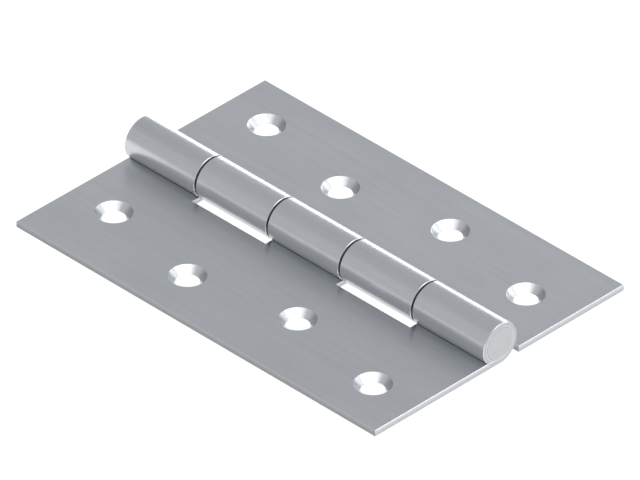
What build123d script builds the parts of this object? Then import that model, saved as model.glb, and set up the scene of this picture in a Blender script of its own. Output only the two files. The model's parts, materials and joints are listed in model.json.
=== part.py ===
from build123d import *
from math import acos, degrees, radians, tan
import os

os.makedirs("parts", exist_ok=True)

# Butt hinge, lying open and flat, in millimetres.
# X runs across the leaves, Y along the pin and Z up. The origin is under the middle
# of the pin, level with the undersides of both leaves.

# Leaves
hinge_length = 101.0  # along the pin
leaf_reach = 35.0  # pin axis to the free edge of either leaf
sheet = 1.5  # thickness of the strip that both leaves are pressed from
edge_break = 0.12  # bevel that tumbling leaves on the sheared edges

# Barrel
barrel_d = 9.5  # outside of the rolled knuckles
knuckle_count = 5  # the leaves take them in turn, and one leaf has both ends
knuckle_gap = 0.5  # from one knuckle to the next
notch_clearance = 0.5  # barrel to the edge of the notch in the other leaf
seam = 0.08  # rolled lip to the face of its own leaf
lip_edge = 0.35  # height of the blunt edge of the lip, which is dressed flat on the leaf

# Pin
pin_clearance = 0.05  # pin to bore, all round
rivet_flare = 0.4  # how far the riveted pin ends spread, all round
flare_angle = 45.0  # between the flare and the pin axis

# Countersunk screw holes, staggered in two rows along each leaf
screw_hole_d = 5.0
screw_land = 0.05  # straight wall left under the countersink
sink_angle = 90.0
holes_per_leaf = 4
end_margin = 11.5  # centre of the first and last hole to the end of the leaf
outer_row = 11.0  # hole centre to the free edge
inner_row = 16.0

# What follows from those sizes
barrel_r = barrel_d / 2
bore_r = barrel_r - sheet
pin_r = bore_r - pin_clearance
pin_axis = (0, barrel_r)  # in the X-Z plane
knuckle_pitch = (hinge_length + knuckle_gap) / knuckle_count
notch_length = knuckle_pitch + knuckle_gap  # a knuckle and the gap at each of its ends
lip_drop = bore_r - seam  # pin axis down to the underside of the lip
outer_sweep = 360 - degrees(acos(lip_drop / barrel_r))
inner_sweep = 360 - degrees(acos((lip_drop - lip_edge) / bore_r))
flare_length = rivet_flare / tan(radians(flare_angle))
hole_pitch = (hinge_length - 2 * end_margin) / (holes_per_leaf - 1)
sink_r = screw_hole_d / 2 + (sheet - screw_land) * tan(radians(sink_angle / 2))


def along_pin(index, count, pitch):
    """Place along Y of one item in a row that is centred on the hinge."""
    return (index - (count - 1) / 2) * pitch


def rolled_leaf(side, notches, hole_rows):
    """One leaf, pressed and rolled from a single strip.

    side is -1 for the leaf towards -X and +1 for the one towards +X. notches numbers
    the knuckles of the other leaf, and hole_rows gives the distances of the screw holes
    from the free edge, in turn. Both count from the -Y end.
    """
    free_edge = side * leaf_reach
    with BuildPart() as leaf:
        # The strip runs flat to the pin, then under, round and back to its own face.
        with BuildSketch(Plane.XZ):
            with BuildLine():
                outside = CenterArc(pin_axis, barrel_r, -90, -side * outer_sweep)
                inside = CenterArc(pin_axis, bore_r, -90, -side * inner_sweep)
                lip_heel = ((inside @ 1).X, (outside @ 1).Y)
                Polyline(outside @ 0, (free_edge, 0), (free_edge, sheet), inside @ 0)
                Polyline(outside @ 1, lip_heel, inside @ 1)
            make_face()
        extrude(amount=hinge_length / 2, both=True)

        # Notches that the other leaf's knuckles turn in
        with BuildSketch(Plane.XY):
            for knuckle in notches:
                with Locations((0, along_pin(knuckle, knuckle_count, knuckle_pitch))):
                    Rectangle(barrel_d + 2 * notch_clearance, notch_length)
        extrude(amount=barrel_d, both=True, mode=Mode.SUBTRACT)

        # Sheared edges, all but the short ones at the lip
        ends = leaf.faces().filter_by(Axis.Y).edges().filter_by(Axis.Z, reverse=True)
        sides = leaf.faces().filter_by(Axis.X).edges().filter_by(Axis.Y)
        chamfer(ends + sides.filter_by_position(Axis.Z, 0, sheet), edge_break)

        # Mouths of the bore at the two ends of the barrel, which the riveted pin fills
        for end in (-1, 1):
            with BuildSketch(Plane.XZ.offset(end * hinge_length / 2)):
                with Locations(pin_axis):
                    Circle(bore_r + rivet_flare)
            extrude(amount=-end * flare_length, taper=flare_angle, mode=Mode.SUBTRACT)

        # Screw holes, countersunk from the face
        for index in range(holes_per_leaf):
            row = hole_rows[index % len(hole_rows)]
            y = along_pin(index, holes_per_leaf, hole_pitch)
            with Locations((side * (leaf_reach - row), y, sheet)):
                CounterSinkHole(screw_hole_d / 2, sink_r, counter_sink_angle=sink_angle)
    return leaf


end_knuckles = range(0, knuckle_count, 2)  # with the ones between them that match
inner_knuckles = range(1, knuckle_count, 2)

three_knuckle_leaf = rolled_leaf(-1, inner_knuckles, (outer_row, inner_row))
three_knuckle_leaf.part.label = "three_knuckle_leaf"

two_knuckle_leaf = rolled_leaf(1, end_knuckles, (inner_row, outer_row))
two_knuckle_leaf.part.label = "two_knuckle_leaf"

# The pin is a plain rod whose ends are riveted over, flush with the barrel.
pin_top = barrel_r + pin_r
pin_end = hinge_length / 2
with BuildPart() as hinge_pin:
    with BuildSketch(Plane.YZ):
        with BuildLine():
            Polyline(
                (-pin_end, barrel_r),
                (-pin_end, pin_top + rivet_flare),
                (flare_length - pin_end, pin_top),
                (pin_end - flare_length, pin_top),
                (pin_end, pin_top + rivet_flare),
                (pin_end, barrel_r),
                close=True,
            )
        make_face()
    revolve(axis=Axis((0, 0, barrel_r), (0, 1, 0)))
hinge_pin.part.label = "hinge_pin"

for piece in (three_knuckle_leaf, two_knuckle_leaf, hinge_pin):
    export_step(piece.part, f"parts/{piece.part.label}.step")
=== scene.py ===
import json
import math
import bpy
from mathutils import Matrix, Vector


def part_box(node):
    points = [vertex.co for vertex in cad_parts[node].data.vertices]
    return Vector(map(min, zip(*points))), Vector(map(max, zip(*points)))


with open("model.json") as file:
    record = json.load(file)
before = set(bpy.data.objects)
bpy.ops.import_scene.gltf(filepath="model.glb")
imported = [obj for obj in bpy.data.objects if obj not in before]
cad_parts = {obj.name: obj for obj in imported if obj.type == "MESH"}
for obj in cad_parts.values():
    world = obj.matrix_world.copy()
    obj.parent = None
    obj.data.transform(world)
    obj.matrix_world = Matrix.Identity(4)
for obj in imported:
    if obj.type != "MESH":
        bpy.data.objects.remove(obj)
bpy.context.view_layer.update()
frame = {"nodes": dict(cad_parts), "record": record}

from types import SimpleNamespace

import bpy
from mathutils import Vector


# Units

MM_PER_M = 1000.0
MICROMETRE = 0.000001  # in metres

# Sizes of the hinge that the finishes and the floor follow. BARREL_R and SINK_R are in millimetres

_, leaf_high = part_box("three_knuckle_leaf")
BARREL_R = leaf_high.z * MM_PER_M / 2
SINK_R = 3.95  # rim of the countersinks


def screw_holes(side):
    """Centres of the screw holes in the leaf on one side of the pin, in millimetres."""
    centres = []
    for mount in frame["record"]["mounts"]:
        x, y, _ = (value * MM_PER_M for value in mount["pos_m"])
        if mount["kind"] == "bolt_pattern" and x * side > 0:
            half = mount["dims"]["spacing_y_mm"] / 2
            centres += [(x, y - half), (x, y + half)]
    return centres


# Node helpers

class Graph:
    """A node tree, with a short call for each kind of node that the finishes need."""

    def __init__(self, tree):
        self.tree = tree

    def node(self, kind, inputs=None, **settings):
        made = self.tree.nodes.new(kind)
        for name, value in settings.items():
            setattr(made, name, value)
        for name, value in (inputs or {}).items():
            self.feed(made.inputs[name], value)
        return made

    def feed(self, socket, value):
        if isinstance(value, bpy.types.NodeSocket):
            self.tree.links.new(value, socket)
        else:
            socket.default_value = value

    def math(self, operation, first, second=0.0, third=0.0):
        return self.node("ShaderNodeMath", {0: first, 1: second, 2: third}, operation=operation).outputs[0]

    def add(self, *values):
        total = values[0]
        for value in values[1:]:
            total = self.math("ADD", total, value)
        return total

    def times(self, *values):
        product = values[0]
        for value in values[1:]:
            product = self.math("MULTIPLY", product, value)
        return product

    def weighted(self, base, *parts):
        """base, plus each part times its weight."""
        return self.add(base, *[self.times(part, weight) for part, weight in parts])

    def remap(self, value, low, high, out_low=0.0, out_high=1.0):
        return self.node("ShaderNodeMapRange", {
            "Value": value, "From Min": low, "From Max": high, "To Min": out_low, "To Max": out_high,
        }).outputs[0]

    def band(self, value, low, high, soft):
        """1 between low and high, 0 outside, with soft flanks."""
        rise = self.remap(value, low - soft, low)
        fall = self.remap(value, high, high + soft, 1.0, 0.0)
        return self.times(rise, fall)

    def inverse(self, mask):
        return self.math("SUBTRACT", 1.0, mask)

    def mix(self, factor, first, second):
        made = self.node("ShaderNodeMix", data_type="FLOAT")
        for socket, value in zip((0, 2, 3), (factor, first, second)):  # where the node has its numbers
            self.feed(made.inputs[socket], value)
        return made.outputs[0]

    def layers(self, bottom, *coats):
        """Each coat is a mask and a value, and covers what lies under it where its mask is 1."""
        for mask, value in coats:
            bottom = self.mix(mask, bottom, value)
        return bottom

    def split(self, vector):
        made = self.node("ShaderNodeSeparateXYZ", {0: vector})
        return [made.outputs[index] for index in range(3)]

    def join(self, x, y, z=0.0):
        return self.node("ShaderNodeCombineXYZ", {0: x, 1: y, 2: z}).outputs[0]

    def stretch(self, vector, scale):
        return self.node("ShaderNodeVectorMath", {0: vector, 1: scale}, operation="MULTIPLY").outputs[0]

    def turned(self, vector, degrees):
        return self.node("ShaderNodeVectorRotate", {
            "Vector": vector, "Angle": math.radians(degrees)}, rotation_type="Z_AXIS").outputs[0]

    def tint(self, colour, tone):
        """A colour made lighter or darker by a number."""
        return self.node("ShaderNodeVectorMath", {0: colour, "Scale": tone}, operation="SCALE").outputs[0]

    def measure(self, operation, first, second=(0.0, 0.0, 0.0)):
        """A number worked out from vectors, such as LENGTH, DISTANCE or DOT_PRODUCT."""
        return self.node("ShaderNodeVectorMath", {0: first, 1: second}, operation=operation).outputs["Value"]

    def noise(self, vector, per_unit, detail=2.0, roughness=0.5):
        """Noise about 0, mostly between -1 and 1. per_unit says how fine it is along each axis."""
        drawn = self.stretch(vector, per_unit)
        made = self.node("ShaderNodeTexNoise", {
            "Vector": drawn, "Scale": 1.0, "Detail": detail, "Roughness": roughness})
        gain = 4.0  # the node's own noise lies about a half and seldom strays by more than a quarter
        return self.math("MULTIPLY_ADD", made.outputs[0], gain, -gain / 2)

    def millimetres(self):
        """The place on the object, in millimetres."""
        return self.stretch(self.node("ShaderNodeTexCoord").outputs["Object"], (MM_PER_M,) * 3)


def new_finish(name):
    """A material with its shader and its graph."""
    material = bpy.data.materials.new(name)
    material.use_nodes = True
    material.node_tree.nodes.clear()
    graph = Graph(material.node_tree)
    shader = graph.node("ShaderNodeBsdfPrincipled")
    graph.node("ShaderNodeOutputMaterial", {"Surface": shader.outputs[0]})
    return material, graph, shader


# Steel

STEEL = (0.61, 0.625, 0.645)


def make_steel(graph, shader, tone, rough, height):
    """Feeds a metal shader. tone is times the colour of steel, and height is in micrometres."""
    shader.inputs["Metallic"].default_value = 1.0
    graph.feed(shader.inputs["Base Color"], graph.tint(STEEL, tone))
    graph.feed(shader.inputs["Roughness"], rough)
    bump = graph.node("ShaderNodeBump", {"Height": height, "Distance": MICROMETRE, "Strength": 1.0})
    graph.feed(shader.inputs["Normal"], bump.outputs[0])


def from_pin_axis(graph, mm):
    x, _, z = graph.split(mm)
    return graph.measure("LENGTH", graph.join(x, 0.0, graph.math("SUBTRACT", z, BARREL_R)))


def leaf_zones(graph, mm, holes):
    """Where a point is on a leaf, as masks that are 1 on their own part, and distances in millimetres.

    holes gives the centres of the screw holes.
    """
    x, y, z = graph.split(mm)
    normal = graph.node("ShaderNodeTexCoord").outputs["Normal"]
    facing_x, facing_y, _ = [graph.math("ABSOLUTE", part) for part in graph.split(normal)]
    square_on = (0.9, 0.95)  # from here a face counts as facing along the axis

    from_axis = from_pin_axis(graph, mm)
    margin = 0.05  # beyond the outside of the barrel
    barrel = graph.remap(from_axis, BARREL_R + margin, BARREL_R + 2 * margin, 1.0, 0.0)
    flat = graph.inverse(barrel)

    cropped = graph.remap(facing_y, *square_on)
    # The long slit edges, which face across the strip; the tone given to them below is mostly painted shade
    slit_edges_painted_shade = graph.times(graph.remap(facing_x, *square_on), flat)

    from_hole = None
    for centre in holes:
        away = graph.measure("DISTANCE", graph.join(x, y), (*centre, 0.0))
        from_hole = away if from_hole is None else graph.math("MINIMUM", from_hole, away)
    fade = 0.02
    above_back = graph.remap(z, fade, 2 * fade)
    sink = graph.times(graph.remap(from_hole, SINK_R, SINK_R + fade, 1.0, 0.0), above_back)

    # A bevel faces an axis at about 45 degrees, and so do parts of a countersink's wall
    slant = graph.math("MAXIMUM", graph.times(facing_x, flat), facing_y)
    bevel = graph.times(graph.band(slant, 0.62, 0.80, soft=0.05), graph.inverse(sink))

    # Depth runs through the strip from its back, which is the outside of the barrel
    depth = graph.mix(barrel, z, graph.math("SUBTRACT", BARREL_R, from_axis))

    return SimpleNamespace(
        barrel=barrel, cropped=cropped, slit_edges_painted_shade=slit_edges_painted_shade, sheared=graph.math("MAXIMUM", cropped, slit_edges_painted_shade),
        sink=sink, bevel=bevel, from_hole=from_hole, depth=depth)


def hairlines(graph, mm, degrees, width, run, rare):
    """Fine handling scratches in one direction, as the highest peaks of a drawn-out noise.

    width and run are about the size of the marks in millimetres, and rare is how high a peak has to be.
    """
    fading_in = 0.25
    peaks = graph.noise(graph.turned(mm, degrees), (1 / run, 1 / width, 1 / width), detail=1.0)
    return graph.remap(peaks, rare, rare + fading_in)


def sheet_steel(name, holes):
    """Cold rolled strip, bright zinc plated, with sheared edges and drilled countersinks.

    The rolling lines run along the pin. holes gives the centres of the screw holes.
    """
    material, graph, shader = new_finish(name)
    mm = graph.millimetres()
    x, y, _ = graph.split(mm)
    zone = leaf_zones(graph, mm, holes)

    # Rolling lines, plating haze, handling marks
    fine = graph.noise(mm, (4.5, 0.05, 4.5), detail=3.0, roughness=0.6)
    broad = graph.noise(mm, (0.9, 0.012, 0.9))
    haze = graph.noise(mm, (0.08, 0.06, 0.08), detail=3.0, roughness=0.55)
    spangle = graph.noise(mm, (0.9, 0.6, 0.9))
    peel = graph.noise(mm, (1.6, 1.2, 1.6), detail=1.0)
    scratch = graph.add(
        hairlines(graph, mm, degrees=23, width=0.45, run=45.0, rare=1.20),
        hairlines(graph, mm, degrees=-48, width=0.40, run=30.0, rare=1.30),
        hairlines(graph, mm, degrees=81, width=0.50, run=60.0, rare=1.10))

    # Marks of the tools: the curling die, the countersink, and the shear, which tears the last of the cut
    curl = graph.times(graph.noise(mm, (0.05, 1.6, 0.05), detail=3.0), zone.barrel)
    drag = graph.noise(graph.join(x, y, zone.depth), (3.5, 3.5, 0.35))
    ragged_depth = graph.weighted(zone.depth, (graph.noise(mm, (0.35, 0.35, 0.0)), 0.12))
    torn_to, clean_from = 0.80, 0.90  # millimetres from the back of the strip
    tear = graph.remap(ragged_depth, torn_to, clean_from, 1.0, 0.0)
    rings = graph.times(graph.noise(graph.join(zone.from_hole, x, y), (3.2, 0.05, 0.05)), zone.sink)

    # How much each mark changes the tone, the roughness and, in micrometres, the height
    tone = graph.layers(
        graph.weighted(
            1.0, (fine, 0.036), (broad, 0.028), (haze, 0.026), (spangle, 0.010), (curl, 0.010),
            (scratch, 0.13)),
        (zone.sink, graph.weighted(1.06, (rings, 0.04))),
        (zone.cropped, graph.weighted(0.94, (drag, 0.03), (tear, -0.10))),
        # Painted shade: the long slit edges are made about half as light as the leaf. A little of this is
        # their own slit finish; most of it is painted shade on the sides that face away from the light
        (zone.slit_edges_painted_shade, graph.weighted(0.53, (drag, 0.02), (tear, -0.05))),
        (zone.bevel, 1.06))
    rough = graph.layers(
        graph.weighted(
            0.33, (fine, 0.02), (haze, 0.02), (spangle, 0.012), (scratch, -0.06), (zone.barrel, -0.03)),
        (zone.sink, graph.weighted(0.30, (rings, 0.03))),
        (zone.sheared, graph.weighted(0.36, (tear, 0.12), (drag, 0.02))),
        (zone.bevel, 0.27))
    height = graph.weighted(
        0.0, (fine, 0.45), (peel, 0.4), (scratch, -2.0), (curl, 0.8), (rings, 1.6),
        (graph.times(zone.sheared, drag), 3.0))
    make_steel(graph, shader, tone, rough, height)
    return material


def pin_steel():
    """Drawn rod. Its ends carry the fine rings that the riveting tool leaves."""
    material, graph, shader = new_finish("drawn_pin_steel")
    mm = graph.millimetres()
    x, _, z = graph.split(mm)
    rings = graph.noise(graph.join(from_pin_axis(graph, mm), x, z), (2.6, 0.12, 0.12))
    mottle = graph.noise(mm, (0.7, 0.2, 0.7), detail=3.0)
    make_steel(
        graph, shader,
        tone=graph.weighted(0.82, (rings, 0.03), (mottle, 0.025)),
        rough=graph.weighted(0.36, (rings, 0.03), (mottle, 0.02)),
        height=graph.weighted(0.0, (rings, 2.0), (mottle, 2.0)))
    return material


def dress(node, material):
    slots = frame["nodes"][node].data.materials
    slots.clear()
    slots.append(material)


dress("three_knuckle_leaf", sheet_steel("three_knuckle_leaf_steel", screw_holes(-1)))
dress("two_knuckle_leaf", sheet_steel("two_knuckle_leaf_steel", screw_holes(1)))
dress("hinge_pin", pin_steel())


# Floor

def pale_floor_paint():
    """White acrylic that glows a little, so that the floor under the hinge stays pale."""
    material, _, shader = new_finish("pale_floor")
    shader.inputs["Base Color"].default_value = (0.50, 0.50, 0.50, 1.0)
    shader.inputs["Roughness"].default_value = 0.9
    shader.inputs["Specular IOR Level"].default_value = 0.0
    shader.inputs["Emission Color"].default_value = (1.0, 1.0, 1.0, 1.0)
    shader.inputs["Emission Strength"].default_value = 0.72
    return material


def floor():
    """The floor lies just under the reach of the second leaf, which can fold right back."""
    half_side = 6.0
    clearance = 0.0005
    pin_height = leaf_high.z / 2
    reach = math.hypot(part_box("two_knuckle_leaf")[1].x, pin_height)
    level = pin_height - reach - clearance
    mesh = bpy.data.meshes.new("floor")
    corners = [(-1, -1), (1, -1), (1, 1), (-1, 1)]
    mesh.from_pydata([(x * half_side, y * half_side, level) for x, y in corners], [], [(0, 1, 2, 3)])
    made = bpy.data.objects.new("floor", mesh)
    bpy.context.scene.collection.objects.link(made)
    made.data.materials.append(pale_floor_paint())


# Camera and light

def aimed(obj, place, target):
    obj.location = place
    obj.rotation_mode = "QUATERNION"
    obj.rotation_quaternion = (Vector(target) - Vector(place)).to_track_quat("-Z", "Y")
    bpy.context.scene.collection.objects.link(obj)
    return obj


def camera():
    """The picture is isometric, so a very long lens looks down the cube's diagonal."""
    sensor = 36.0  # millimetres, as is the lens
    lens = 1000.0
    width_at_hinge = 0.12754  # what the picture spans there
    target = Vector((0.003216, 0.003017, 0.0015))  # the middle of the picture, on the leaves' faces
    back = Vector((-1, -1, 1)).normalized()
    place = target + back * (width_at_hinge * lens / sensor)
    data = bpy.data.cameras.new("camera")
    data.sensor_width = sensor
    data.lens = lens
    data.clip_start = 0.5
    data.clip_end = 10.0
    bpy.context.scene.camera = aimed(bpy.data.objects.new("camera", data), place, target)


def softbox(name, place, width, height, power, target=(0, 0, 0)):
    data = bpy.data.lights.new(name, "AREA")
    data.shape = "RECTANGLE"
    data.size = width
    data.size_y = height
    data.energy = power
    made = aimed(bpy.data.objects.new(name, data), place, target)
    made.visible_camera = False


def daylight(colour):
    """Even light from all round, dimmer low behind the hinge, where a studio has its dark end."""
    dark_end = (-0.10, 0.97, 0.21)
    dimming_starts, dimming_ends = 0.78, 0.96  # how squarely a direction faces the dark end
    dimmest = 0.5
    world = bpy.data.worlds.new("studio")
    world.use_nodes = True
    graph = Graph(world.node_tree)
    direction = graph.node("ShaderNodeTexCoord").outputs["Generated"]
    facing = graph.measure("DOT_PRODUCT", direction, dark_end)
    background = world.node_tree.nodes["Background"]
    graph.feed(background.inputs["Color"], (*colour, 1.0))
    strength = graph.remap(facing, dimming_starts, dimming_ends, 1.0, dimmest)
    graph.feed(background.inputs["Strength"], strength)
    bpy.context.scene.world = world


floor()
camera()
daylight((0.568, 0.58, 0.595))

# Seen from the camera, the countersinks mirror the first two panels and the right fill, the near side
# of the barrel mirrors the side fill, and the strip is the bright line along the top of the barrel
softbox("front", (-0.16, -0.52, 0.70), width=2.0, height=0.28, power=3.5)
softbox("left", (-0.55, -0.10, 0.72), width=0.5, height=0.3, power=0.40)
softbox("side_fill", (-0.55, 0.60, 0.45), width=0.9, height=0.7, power=0.16)
softbox("right_fill", (0.77, -0.30, 0.34), width=0.55, height=0.35, power=0.75)
softbox("strip", (0.42, 0.20, 0.027), width=0.40, height=0.11, power=0.40, target=(0, 0, 0.005))

view_settings = bpy.context.scene.view_settings
view_settings.view_transform = "Standard"
view_settings.look = "None"
